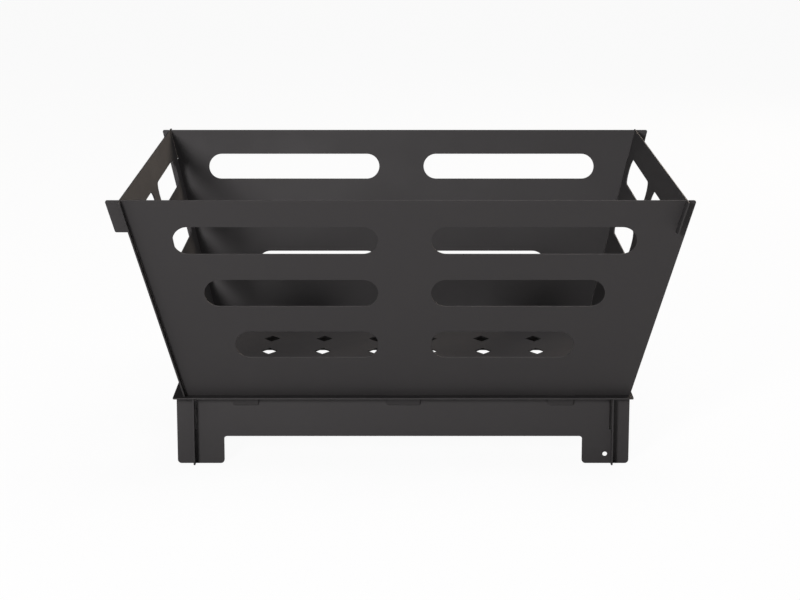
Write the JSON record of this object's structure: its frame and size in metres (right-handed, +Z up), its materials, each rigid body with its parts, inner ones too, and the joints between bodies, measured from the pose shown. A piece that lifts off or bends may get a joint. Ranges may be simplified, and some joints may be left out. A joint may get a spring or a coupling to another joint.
{
  "type": "fire basket",
  "caption": "Free-standing plug-together steel fire basket: leaning slotted side panels on a grate plate, carried by a cross-lapped rail frame with feet; holds a small wood fire.",
  "frame": {"origin": "on the floor under the middle of the basket", "axes": "+Z up, -Y towards the front, +X to the right seen from the front"},
  "size_m": [0.5972, 0.5372, 0.2914],
  "materials": {
    "black_coated_steel": "satin black high-temperature powder coat on sheet steel"
  },
  "bodies": {
    "rail_frame": {"front_rail": "black_coated_steel", "back_rail": "black_coated_steel"},
    "side_rails": {"left_rail": "black_coated_steel", "right_rail": "black_coated_steel"},
    "base_plate": {"base_plate": "black_coated_steel"},
    "basket": {"front_panel": "black_coated_steel", "back_panel": "black_coated_steel", "left_panel": "black_coated_steel", "right_panel": "black_coated_steel"}
  },
  "joints": [
    {"name": "side_rails_lift", "type": "slide", "parent": "rail_frame", "child": "side_rails", "axis": [0, 0, 1], "range_m": [0, 0.08]},
    {"name": "base_plate_lift", "type": "slide", "parent": "side_rails", "child": "base_plate", "axis": [0, 0, 1], "range_m": [0, 0.08]},
    {"name": "basket_lift", "type": "slide", "parent": "base_plate", "child": "basket", "axis": [0, 0, 1], "range_m": [0, 0.12]}
  ]
}
